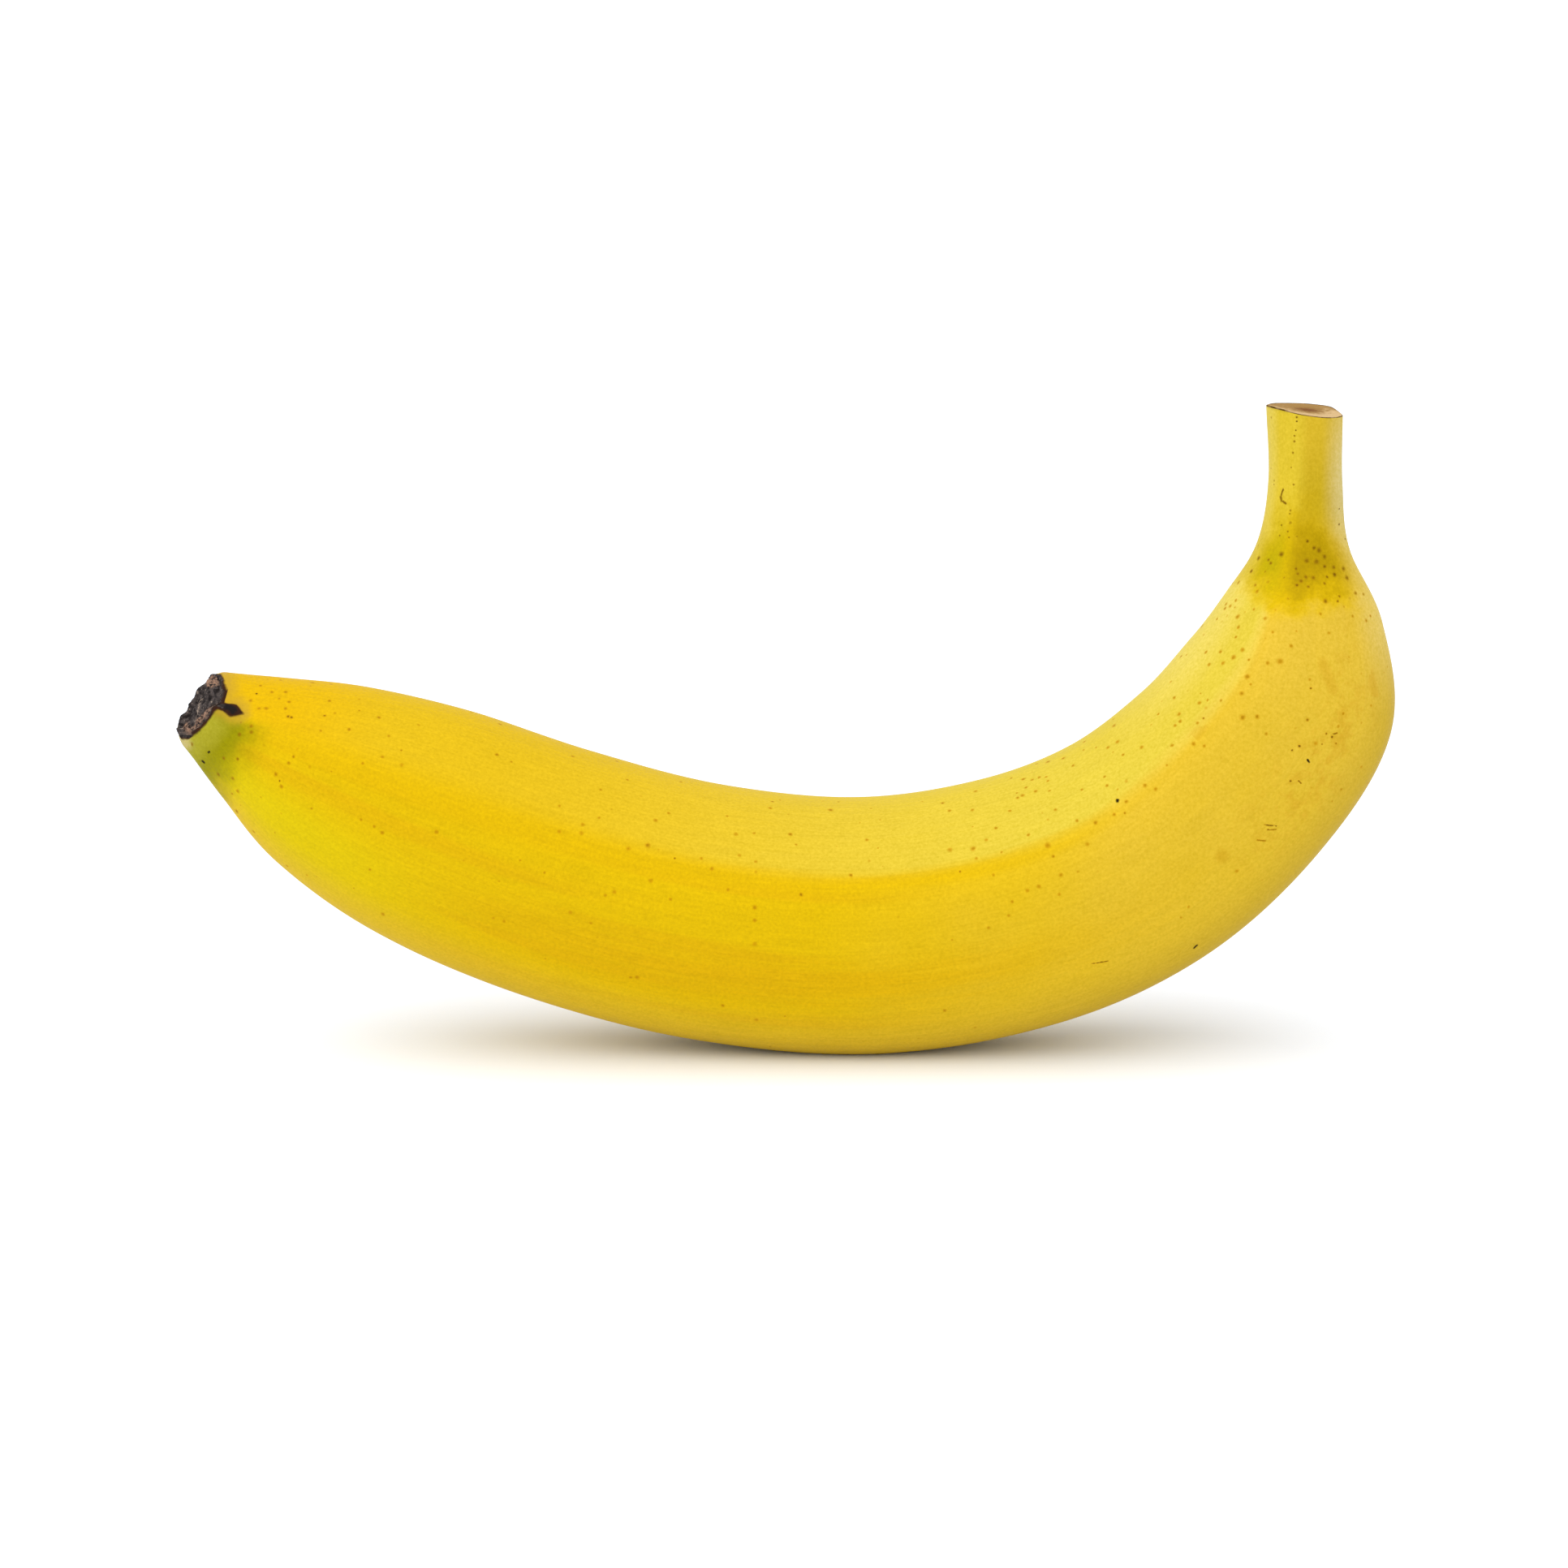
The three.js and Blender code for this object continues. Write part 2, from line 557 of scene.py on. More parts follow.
def loft(tree, spine, size):
    """A grid wrapped round the spine, one row to a ring, closed at its seam and at both ends."""
    count = add_node(tree, "GeometryNodeAttributeDomainSize", {0: spine}, component="MESH")
    rings = output(count, "Point Count")
    grid = add_node(tree, "GeometryNodeMeshGrid", {
        "Size X": 1.0, "Size Y": 1.0, "Vertices X": rings, "Vertices Y": size["Points round"] + 1,
    })
    lengthwise, round_share, _level = parts_of(position(tree))
    ring = arithmetic("ROUND", (lengthwise + 0.5) * (rings - 1))

    def of_ring(name):
        return value_at(spine, named(tree, name), ring)

    angle = (round_share + 0.5) * (2 * math.pi)
    turned = angle - of_ring("twist")
    edge = of_ring("edge")
    total = sum(larger(cosine(turned - math.radians(faces)), 0.0) ** edge for faces in SIDES_FACE)
    reach = total ** (-1 / edge) * of_ring("deep") * of_ring("share")
    near = reach * cosine(angle) * size["Wide per deep"]
    inward = reach * sine(angle)

    def slope(leans_out, leans_near):
        """How far an end face that leans moves a point along the fruit."""
        return inward * math.tan(math.radians(leans_out)) - near * math.tan(math.radians(leans_near))

    cut_slope = slope(STEM_LEANS_OUT, STEM_LEANS_NEAR) + inward * near * CUT_TWIST
    moved = of_ring("moved") + of_ring("stem_lean") * cut_slope
    moved = moved - of_ring("scar_lean") * slope(SCAR_LEANS_OUT, SCAR_LEANS_NEAR)
    heading = of_ring("heading")
    x, y, z = parts_of(value_at(spine, position(tree), ring))
    place = vector(
        x - inward * sine(heading) + moved * cosine(heading),
        y - near,
        larger(z + inward * cosine(heading) + moved * sine(heading), 0.0),
    )
    skin = Field(grid.outputs["Mesh"])
    skin = store(skin, "skin", vector(of_ring("along"), cosine(turned), sine(turned)))
    skin = store(skin, "section", vector(near, inward, of_ring("share")))
    skin = store(skin, "end_face", of_ring("end_face"))
    skin = geometry_step("GeometryNodeSetPosition", skin, {"Position": place})
    return geometry_step("GeometryNodeMergeByDistance", skin, {"Distance": SEAM_GAP})


# Relief of the skin

# In the names from here on, a fade gives where something starts and where it is full, and a band gives
# its middle and its reach to either side. Places on the end faces are (near, inward, 0).
LUMP_SIZE = 26 * MM
LUMP_HEIGHT = 0.12 * MM

# The blossom scar stops a little short of the end face's edge, and reaches it on the upper near side.
SCAR_SHORT = 0.5 * MM
SCAR_LAP = 0.6 * MM
LAP_NEAR_FADE = (1.5 * MM, 4 * MM)
LAP_INWARD_FADE = (1 * MM, 2.5 * MM)
SCAR_WOBBLE = 0.4 * MM
WOBBLE_SIZE = 2.2 * MM

# The scar's dried spike lies on the near side of the peel, and is placed by the picture's pixels.
SPIKE_ROOT = (270, 869)
SPIKE_POINT = (301, 880)
SPIKE_STALK = 0.65 * MM
SPIKE_BLADE = 0.3 * MM
SPIKE_TAPER = 2.2 * MM

# What stands on the scar, and how deep inside its edge the crust, its rim and the groove behind it lie.
KNOB_PLACE = (-1.0 * MM, 3.5 * MM, 0.0)
KNOB_HALF_NEAR = 2.8 * MM
KNOB_HALF_INWARD = 1.5 * MM
SCAR_RIDGE_BAND = (-1.1 * MM, 0.9 * MM)
SCAR_RIDGE_RUN_BAND = (0.0, 4.5 * MM)
LIP_BAND = (1.5 * MM, 0.9 * MM)
LIP_NEAR_FADE = (1.5 * MM, 4 * MM)
JAG_SIZE = 1.1 * MM
JAG_REACH = 2.2 * MM
CRUST_SIZE = 1.4 * MM
CRUST_FADE = (-0.2 * MM, 0.5 * MM)
RIM_BAND = (0.35 * MM, 0.5 * MM)
GROOVE_BAND = (1.0 * MM, 0.6 * MM)
SPIKE_FADE = (-0.1 * MM, 0.3 * MM)

# How far each of these rises, as a share of the crust's height.
CRUST_HEIGHT = 0.7 * MM
CLOD_RISE = 2.4
GRIT_RISE = 1.4
RIM_RISE = 0.5
DOME_RISE = 0.3
KNOB_RISE = 1.3
SCAR_RIDGE_RISE = 0.5
LIP_RISE = 0.6
SPIKE_RISE = 0.4

# The peel bulges out past the scar's edge, over the first stretch of the fruit.
BULGE_PLACE = (-2.0 * MM, -6.4 * MM, 0.0)
BULGE_REACH = 4.8 * MM
BULGE_FADE = (3 * MM, 0.0)
BULGE_HEIGHT = 1.1 * MM

# The cut's ledge, fibres and dish, with how far they rise or sink as shares of the ledge's height.
LEDGE_HEIGHT = 0.2 * MM
LEDGE_FADE = (2.5 * MM, 2.9 * MM)
LEDGE_NEAR_FADE = (-0.5 * MM, 1.5 * MM)
LEDGE_RISE = 0.6
FIBRE_SIZE = 0.9 * MM
DISH_SINKS = 1.2


def mark_scar(skin, size):
    """Stores how deep inside the scar or its spike each point lies, below nothing outside them."""
    tree = tree_of(skin)
    place = position(tree)
    along, _facing, _inside = parts_of(named(tree, "skin", "FLOAT_VECTOR"))
    near, inward, share = parts_of(named(tree, "section", "FLOAT_VECTOR"))
    wobble = (noise(place, WOBBLE_SIZE, 3.0) - 0.5) * 2 * SCAR_WOBBLE
    lap = ramp(near, *LAP_NEAR_FADE) * ramp(inward, *LAP_INWARD_FADE) * SCAR_LAP
    scar = (1 - share) * (SECTIONS[0]["deep"] * MM) - along - SCAR_SHORT + lap + wobble

    offset = place - size["Spike root"]
    run = size["Spike point"] - size["Spike root"]
    run_squared = measure("DOT_PRODUCT", run, run)
    reached = measure("DOT_PRODUCT", offset, run) / run_squared
    half_width = bump_at(reached, 0.6, 0.4) * SPIKE_BLADE + SPIKE_STALK
    half_width = smaller(half_width, (1 - reached) * SPIKE_TAPER)
    beyond = larger(reached - 1, reached * -1)
    off_axis = measure("DISTANCE", offset, run * reached) + larger(beyond, 0.0) * run_squared ** 0.5
    spike = half_width - off_axis + wobble * 0.5
    return store(skin, "scar_depth", larger(scar, spike))


def scar_features(near, inward, depth, place):
    """How much knob, pale ridge and crumbly lip the scar has at a place, each from 0 to 1."""
    across = (vector(near, inward, 0.0) - KNOB_PLACE) * (1 / KNOB_HALF_NEAR, 1 / KNOB_HALF_INWARD, 0.0)
    knob = ramp(length_of(across), 1.0, 0.4)
    jagged = (noise(place, JAG_SIZE, 3.0) - 0.5) * JAG_REACH
    ridge = bump_at(near + inward + jagged, *SCAR_RIDGE_BAND)
    ridge = ridge * bump_at(near - inward, *SCAR_RIDGE_RUN_BAND)
    lip = bump_at(depth + jagged * 0.3, *LIP_BAND) * ramp(near - inward, *LIP_NEAR_FADE)
    return knob, ridge, lip


def scar_relief(tree, place, size):
    """Heights of the scar's crust, rim, knob, ridge and lip, and of the spike."""
    near, inward, share = parts_of(named(tree, "section", "FLOAT_VECTOR"))
    depth = named(tree, "scar_depth")
    on_face = larger(named(tree, "end_face") * -1, 0.0)
    knob, ridge, lip = scar_features(near, inward, depth, place)
    clods = noise(place, 2 * CRUST_SIZE, 1.0) - 0.5
    grit = noise(place, CRUST_SIZE, 4.0, 0.6) - 0.5
    crust = (clods * CLOD_RISE + grit * GRIT_RISE) * ramp(depth, *CRUST_FADE)
    rim = (bump_at(depth, *RIM_BAND) - bump_at(depth, *GROOVE_BAND)) * RIM_RISE
    dome = (1 - share * share) * DOME_RISE
    face = crust + rim + dome + knob * KNOB_RISE + ridge * SCAR_RIDGE_RISE + lip * LIP_RISE
    spike = ramp(depth, *SPIKE_FADE) * (1 - on_face) * SPIKE_RISE
    return (face * on_face + spike) * size["Crust height"]


def cut_relief(tree, place, size):
    """Heights of the cut's ledge and fibres, and of the shallow dish in its middle."""
    near, inward, share = parts_of(named(tree, "section", "FLOAT_VECTOR"))
    on_face = larger(named(tree, "end_face"), 0.0)
    ledge = ramp(inward, *LEDGE_FADE) * ramp(near, *LEDGE_NEAR_FADE) * LEDGE_RISE
    fibres = (noise(place, FIBRE_SIZE, 3.0) - 0.5) * ramp(share, 1.0, 0.9)
    dish = ramp(share, 0.95, 0.5) * DISH_SINKS
    return (ledge + fibres - dish) * on_face * size["Ledge height"]


def raise_relief(skin, size):
    """Low lumps on the peel, a crusty scar, a cut with a ledge, and a bulge below the scar."""
    tree = tree_of(skin)
    place = position(tree)
    along, _facing, _inside = parts_of(named(tree, "skin", "FLOAT_VECTOR"))
    near, inward, _share = parts_of(named(tree, "section", "FLOAT_VECTOR"))
    lumps = (noise(place, LUMP_SIZE, 1.0) - 0.5) * 2 * size["Lump height"]
    height = lumps + scar_relief(tree, place, size) + cut_relief(tree, place, size)
    to_bulge = measure("DISTANCE", vector(near, inward, 0.0), BULGE_PLACE)
    bulge = ramp(to_bulge, BULGE_REACH, 0.0) * ramp(along, *BULGE_FADE) * size["Bulge height"]
    heading = math.radians(SECTIONS[0]["heading"])
    out_of_end = (-math.cos(heading), 0.0, -math.sin(heading))
    normal = output(add_node(tree, "GeometryNodeInputNormal"))
    x, y, z = parts_of(place + normal * height + vector(bulge, bulge, bulge) * out_of_end)
    return geometry_step("GeometryNodeSetPosition", skin, {"Position": vector(x, y, larger(z, 0.0))})


# Marks on the peel

# Scattered freckles: their closest spacing and densest scatter, then the share of it that each stretch of
# the fruit has. Places along the fruit are distances from the blossom end, and places round it run from -1
# on its back to 1 on the inside of the bend.
FRECKLE_GAP = 1.1 * MM
FRECKLES_PER_SQUARE = 0.5 / MM ** 2
FRECKLE_SEED = 7
FRECKLED_NECK = 0.4
FRECKLED_NECK_BAND = (196 * MM, 16 * MM)
FRECKLED_SHOULDER = 0.12
FRECKLED_SHOULDER_BAND = (180 * MM, 25 * MM)
FRECKLED_TIP = 0.28
FRECKLED_TIP_FADE = (36 * MM, 6 * MM)
FRECKLED_UPPER = 0.1
FRECKLED_UPPER_FADE = (60 * MM, 130 * MM)
FRECKLED_ELSEWHERE = 0.02
FRECKLE_RADIUS = 0.11 * MM
FRECKLE_GROWTH = 0.14 * MM


def freckle_density(along, inside):
    """The share of the densest scatter that a place on the peel has."""
    neck = bump_at(along, *FRECKLED_NECK_BAND) * FRECKLED_NECK
    shoulder = bump_at(along, *FRECKLED_SHOULDER_BAND) * FRECKLED_SHOULDER
    tip = ramp(along, *FRECKLED_TIP_FADE) * FRECKLED_TIP
    upper = ramp(along, *FRECKLED_UPPER_FADE, 0.3, 1.0) * ramp(inside, 0.3, 0.6) * FRECKLED_UPPER
    return neck + shoulder + tip + upper + FRECKLED_ELSEWHERE


def scatter_freckles(skin, size):
    """Freckles at random on the peel, each with no run and a look: its radius and its tone."""
    tree = tree_of(skin)
    along, _facing, inside = parts_of(named(tree, "skin", "FLOAT_VECTOR"))
    on_peel = 1 - unsigned(named(tree, "end_face"))
    scattered = add_node(tree, "GeometryNodeDistributePointsOnFaces", {
        "Mesh": skin, "Distance Min": FRECKLE_GAP, "Density Max": FRECKLES_PER_SQUARE,
        "Density Factor": freckle_density(along, inside) * on_peel, "Seed": size["Freckle seed"],
    }, distribute_method="POISSON")
    freckles = output(scattered, "Points")

    def chance(low, high, seed):
        node = add_node(
            tree, "FunctionNodeRandomValue", {"Min": low, "Max": high, "Seed": seed}, data_type="FLOAT"
        )
        return output(node)

    grown = chance(0.0, 1.0, 1) ** 2.5
    radius = grown * FRECKLE_GROWTH + FRECKLE_RADIUS
    tone = grown * 0.4 + chance(0.05, 0.3, 2)
    freckles = store(freckles, "mark_look", vector(radius, tone, 0.0))
    return store(freckles, "mark_run", (0.0, 0.0, 0.0))


def placed_marks(skin, size):
    """The marks placed one by one, moved onto the skin."""
    tree = tree_of(skin)
    placed = add_node(tree, "GeometryNodeObjectInfo", {"Object": size["Placed marks"]})
    marks = geometry_step("GeometryNodeMeshToPoints", output(placed, "Geometry"))
    on_skin = add_node(
        tree, "GeometryNodeSampleNearestSurface", {"Mesh": skin, "Value": position(tree)},
        data_type="FLOAT_VECTOR",
    )
    return geometry_step("GeometryNodeSetPosition", marks, {"Position": output(on_skin)})


def scatter_marks(skin, size):
    """Gives every face the nearest freckle or placed mark: its middle, half run and look."""
    tree = tree_of(skin)
    freckles = scatter_freckles(skin, size)
    marks = placed_marks(skin, size)
    to_mark = add_node(tree, "GeometryNodeProximity", {0: marks}, target_element="POINTS")
    crowded = arithmetic("LESS_THAN", output(to_mark, "Distance"), FRECKLE_GAP)
    freckles = geometry_step("GeometryNodeDeleteGeometry", freckles, {"Selection": crowded})
    joined = add_node(tree, "GeometryNodeJoinGeometry")
    feed(joined.inputs[0], freckles)
    feed(joined.inputs[0], marks)
    points = output(joined)
    nearest = output(add_node(tree, "GeometryNodeSampleNearest", {"Geometry": points}, domain="POINT"))
    for name in ("mark_run", "mark_look"):
        skin = store(skin, name, value_at(points, named(tree, name, "FLOAT_VECTOR"), nearest), "FACE")
    return store(skin, "mark_middle", value_at(points, position(tree), nearest), "FACE")


def build_fruit(camera, spine, marks, peel):
    """The whole fruit as one piece, from its spine."""
    sizes = {
        "Points round": POINTS_ROUND,
        "Wide per deep": WIDE_PER_DEEP,
        "Lump height": LUMP_HEIGHT,
        "Crust height": CRUST_HEIGHT,
        "Bulge height": BULGE_HEIGHT,
        "Ledge height": LEDGE_HEIGHT,
        "Spike root": on_fruit(camera, SPIKE_ROOT),
        "Spike point": on_fruit(camera, SPIKE_POINT),
        "Freckle seed": FRECKLE_SEED,
        "Placed marks": marks,
        "Peel": peel,
    }
    tree, size = start_tree("banana_skin", sizes)
    skin = loft(tree, size["Geometry"], size)
    skin = mark_scar(skin, size)
    skin = raise_relief(skin, size)
    skin = scatter_marks(skin, size)
    skin = geometry_step("GeometryNodeSetShadeSmooth", skin)
    skin = geometry_step("GeometryNodeRealizeInstances", skin)
    skin = geometry_step("GeometryNodeSetMaterial", skin, {"Material": size["Peel"]})
    leave = tree.nodes.new("NodeGroupOutput")
    feed(leave.inputs[0], skin)
    make_mesh(spine, tree, sizes)
    spine.name = "banana_fruit"
    spine.data.name = "banana_fruit"
    bpy.data.objects.remove(marks)
    return spine


# Marks that stand out in the picture, by its pixels

STEM_DOTS = (
    (1598, 514), (1598, 519), (1597, 530), (1579, 647), (1650, 627), (1650, 646), (1657, 664),
)
FAINT_STEM_DOTS = (
    (1595, 537), (1595, 544), (1593, 558), (1591, 576), (1566, 577), (1570, 592), (1570, 597),
    (1590, 629), (1589, 633), (1587, 655), (1577, 660), (1588, 662), (1598, 661), (1594, 597),
)
NECK_FRECKLES = (
    (1611, 667), (1619, 675), (1625, 678), (1632, 686), (1579, 683), (1563, 690), (1566, 694),
    (1551, 688), (1542, 704), (1610, 691), (1622, 692), (1632, 698), (1643, 699), (1597, 701),
    (1599, 707), (1609, 711), (1618, 712), (1644, 708), (1603, 716), (1598, 721), (1612, 723),
    (1632, 719), (1635, 711), (1655, 701), (1650, 735), (1648, 741), (1633, 741), (1547, 721),
)
SHOULDER_FRECKLES = (
    (1549, 729), (1523, 740), (1511, 745), (1516, 747), (1510, 750), (1545, 751), (1500, 763),
    (1526, 773), (1523, 785), (1559, 762), (1568, 779), (1504, 803), (1507, 817), (1490, 819),
    (1462, 807), (1531, 801), (1539, 813), (1562, 817), (1541, 843), (1447, 860), (1478, 866),
    (1453, 880), (1454, 889), (1448, 894), (1484, 919), (1445, 919), (1655, 879), (1621, 916),
    (1688, 759), (1683, 765), (1670, 731), (1587, 738),
)
HALO_FRECKLES = (
    (1525, 760), (1591, 796), (1520, 810), (1577, 815), (1537, 834), (1531, 884), (1549, 883),
    (1560, 904), (1476, 891), (1471, 917), (1407, 921), (1227, 1020), (1199, 1046), (1291, 1042),
    (930, 1118), (974, 1028), (269, 954), (612, 930),
)
UPPER_FRECKLES = (
    (1261, 960), (1264, 970), (1277, 941), (1280, 958), (1289, 957), (1291, 962), (1272, 961),
    (1253, 977), (1260, 980), (1254, 983), (1276, 975), (1293, 974), (1170, 999), (1202, 975),
    (1198, 998), (1234, 1050), (1267, 1029), (1298, 1055), (1327, 1011), (1350, 1014), (1386, 1002),
    (1388, 988), (1373, 1004), (1364, 968), (1333, 973), (1361, 957), (1322, 943), (1310, 934),
    (1335, 924), (1336, 914), (1365, 921), (1384, 930), (1411, 968), (1444, 919), (1244, 999),
    (961, 986), (949, 996), (467, 884), (430, 899), (616, 893), (641, 897), (670, 907), (760, 938),
)
FACET_FRECKLES = (
    (1340, 1040), (1328, 1074), (1307, 1078), (1280, 1092), (1266, 1097), (1247, 1111), (1305, 1102),
    (1243, 1128), (1218, 1143), (1224, 1078), (1464, 1117), (1524, 1073), (1455, 1130), (930, 1134),
    (930, 1163), (929, 1027), (907, 1028), (896, 1006), (824, 1002), (808, 1011), (911, 1054),
    (864, 1058), (877, 1071), (897, 1096), (839, 964), (773, 961), (740, 973), (738, 1008),
    (718, 1016), (689, 1025), (716, 1027), (774, 1046), (802, 1085), (826, 1108), (757, 1099),
    (746, 1103), (728, 1137), (703, 1124), (641, 1060), (671, 1075), (608, 1131), (621, 1135),
    (777, 1204), (785, 1204), (932, 1256), (630, 939), (538, 1025), (445, 1010), (461, 1018),
    (471, 1026), (472, 1126), (471, 933), (447, 941), (495, 943),
)
TIP_FRECKLES = (
    (309, 863), (321, 845), (335, 853), (352, 853), (356, 865), (344, 861), (352, 873), (328, 873),
    (319, 873), (310, 895), (310, 902), (276, 934), (293, 935), (287, 959), (340, 954), (347, 969),
    (286, 978), (293, 975), (362, 932), (356, 940), (384, 996), (236, 917),
)
SMEARS = (
    ((1630, 818), (1643, 850)), ((1688, 830), (1694, 856)), ((1482, 894), (1470, 912)),
    ((1505, 1054), (1507, 1056)),
)
SMALL_SPECKS = (
    (1615, 848), (1611, 887), (1634, 904), (1641, 908), (1646, 916), (1629, 917), (1601, 919),
    (1592, 924), (1590, 962), (1483, 885), (1033, 988), (831, 1058), (672, 1181), (1183, 1074),
    (316, 855), (355, 883), (359, 884), (400, 882), (345, 962),
)
BLACK_SPECKS = (
    ((1611, 936), (1613, 939)), ((1474, 1164), (1471, 1167)), ((1377, 986), (1377, 987)),
    ((257, 927), (258, 926)), ((250, 938), (251, 939)),
)
SCRATCHES = (
    ((1558, 1016), (1574, 1018)), ((1562, 1022), (1572, 1022)), ((1549, 1035), (1559, 1036)),
    ((1600, 962), (1603, 965)), ((1345, 1187), (1365, 1184)), ((1642, 905), (1647, 903)),
)
STEM_SCAR = (
    ((1581, 603), (1578, 612)), ((1578, 612), (1579, 617)), ((1579, 617), (1584, 620)),
)

# The radius and the tone of each kind. Dots are single places, and runs go from one place to another.
DOTS = (
    (STEM_DOTS, 0.15 * MM, 0.85),
    (FAINT_STEM_DOTS, 0.11 * MM, 0.5),
    (NECK_FRECKLES, 0.25 * MM, 0.66),
    (SHOULDER_FRECKLES, 0.2 * MM, 0.45),
    (HALO_FRECKLES, 0.27 * MM, 0.5),
    (UPPER_FRECKLES, 0.2 * MM, 0.5),
    (FACET_FRECKLES, 0.2 * MM, 0.35),
    (TIP_FRECKLES, 0.2 * MM, 0.5),
    (SMALL_SPECKS, 0.18 * MM, 0.75),
)
RUNS = (
    (BLACK_SPECKS, 0.3 * MM, 1.25),
    (SCRATCHES, 0.1 * MM, 0.7),
    (SMEARS, 0.6 * MM, 0.15),
    (STEM_SCAR, 0.18 * MM, 0.72),
)


def build_marks(camera):
    """Points on the fruit, one to a mark, with the mark's half run and look."""
    runs = [(pixel, pixel, radius, tone) for pixels, radius, tone in DOTS for pixel in pixels]
    runs += [(start, end, radius, tone) for ends, radius, tone in RUNS for start, end in ends]
    places = []
    half_runs = []
    looks = []
    for start, end, radius, tone in runs:
        first = on_fruit(camera, start)
        last = on_fruit(camera, end)
        places.append((first + last) / 2)
        half_runs.extend((last - first) / 2)
        looks.extend((radius, tone, 0.0))
    mesh = bpy.data.meshes.new("placed_marks")
    mesh.from_pydata(places, [], [])
    for name, numbers in (("mark_run", half_runs), ("mark_look", looks)):
        mesh.attributes.new(name, "FLOAT_VECTOR", "POINT").data.foreach_set("vector", numbers)
    return add_object("placed_marks", mesh)


# The peel's finish, in layers from the body's yellows up to the scar and the cut

# Colours of the body, and where they lie along and round it.
SUN_YELLOW = linear(206, 170, 4)
STRAW = linear(205, 171, 50)
STRAW_FADE = (85 * MM, 195 * MM)
PATCH_SIZE = 22 * MM
PATCH_SHIFT = 60 * MM
AMBER = linear(203, 161, 5)
AMBER_BAND = (85 * MM, 75 * MM)
STRIPE_LENGTH = 70 * MM
STRIPE_FADE = (135 * MM, 90 * MM)
TIP_YELLOW = linear(205, 180, 6)
TIP_YELLOW_FADE = (55 * MM, 18 * MM)
HAY = linear(204, 170, 40)
# From the middle on towards the neck, the hay under the back darkens to a browner tone: painted shade.
HAY_SHADE = linear(188, 156, 40)
HAY_SHADE_FADE = (105 * MM, 150 * MM)
# On the inside of the bend, which faces up, the butter and lemons are paler partly by the peel's own tone
# and partly by a painted reflection of the white surroundings.
BUTTER = linear(205, 169, 18)
LEMON_AND_SHEEN = linear(202, 180, 56)
LEMON_AND_SHEEN_FADE = (35 * MM, 155 * MM)
TIP_GOLD = linear(207, 165, 2)
TIP_GOLD_FADE = (28 * MM, 10 * MM)
PALE_LEMON_AND_SHEEN = linear(210, 190, 84)
PALE_LEMON_AND_SHEEN_FADE = (150 * MM, 180 * MM)

# The ridge between the back and the inside of the bend, which moves inward towards the neck, with a painted
# highlight along its crest.
RIDGE_INWARD_FADE = (130 * MM, 175 * MM)
RIDGE_YELLOW = linear(205, 167, 2)
RIDGE_REACH_FADE = (110 * MM, 30 * MM)
RIDGE_FADE = (180 * MM, 110 * MM)
RIDGE_HIGHLIGHT_FADE = (135 * MM, 175 * MM)

# The pale near edge and the scuffs below the neck. The edge's cream is partly the peel's paler tone and
# partly a painted reflection of the white surroundings.
EDGE_CREAM_AND_SHEEN = linear(214, 188, 100)
EDGE_SHEEN_FADE = (180 * MM, 195 * MM)
SCUFF = linear(188, 140, 22)
SCUFF_SIZE = 2.4 * MM
SCUFF_BAND = (174 * MM, 24 * MM)


def streaky_noise(skin, length, lines_round, detail):
    """Noise drawn out along the fruit into streaks of a length, with so many lines across its width."""
    return noise(skin * (1 / length, lines_round, lines_round), 1.0, detail)


def back_colour(place, skin, streaks):
    """The back's yellows: straw towards the neck, amber in stripes, and greyer hay where it turns under,
    darkened from the middle on towards the neck as painted shade.
    """
    along, _facing, inside = parts_of(skin)
    patches = noise(place, PATCH_SIZE, 2.0) - 0.5
    colour = paint(SUN_YELLOW, STRAW, ramp(along + patches * PATCH_SHIFT, *STRAW_FADE))
    streaky = inside + (streaks - 0.5) * 0.3
    colour = paint(colour, AMBER, bump_at(streaky, -0.28, 0.3) * bump_at(along, *AMBER_BAND))
    stripes = streaky_noise(skin, STRIPE_LENGTH, 5.0, 1.0)
    colour = paint(colour, AMBER, ramp(stripes, 0.48, 0.66) * ramp(along, *STRIPE_FADE) * 0.7)
    colour = paint(colour, TIP_YELLOW, ramp(along, *TIP_YELLOW_FADE) * ramp(inside, 0.15, -0.35))
    hay_and_shade = paint(HAY, HAY_SHADE, ramp(along, *HAY_SHADE_FADE))
    return paint(colour, hay_and_shade, ramp(inside, -0.5, -0.95))


def upper_colour(skin):
    """The yellows on the inside of the bend, which faces up: gold at the blossom end, then butter, then
    paler lemon, whose paleness is partly the peel's own tone and partly a painted reflection.
    """
    along, _facing, inside = parts_of(skin)
    colour = paint(BUTTER, LEMON_AND_SHEEN, ramp(along, *LEMON_AND_SHEEN_FADE))
    colour = paint(colour, TIP_GOLD, ramp(along, *TIP_GOLD_FADE))
    return paint(colour, PALE_LEMON_AND_SHEEN, ramp(along, *PALE_LEMON_AND_SHEEN_FADE) * ramp(inside, 0.75, 1.0))


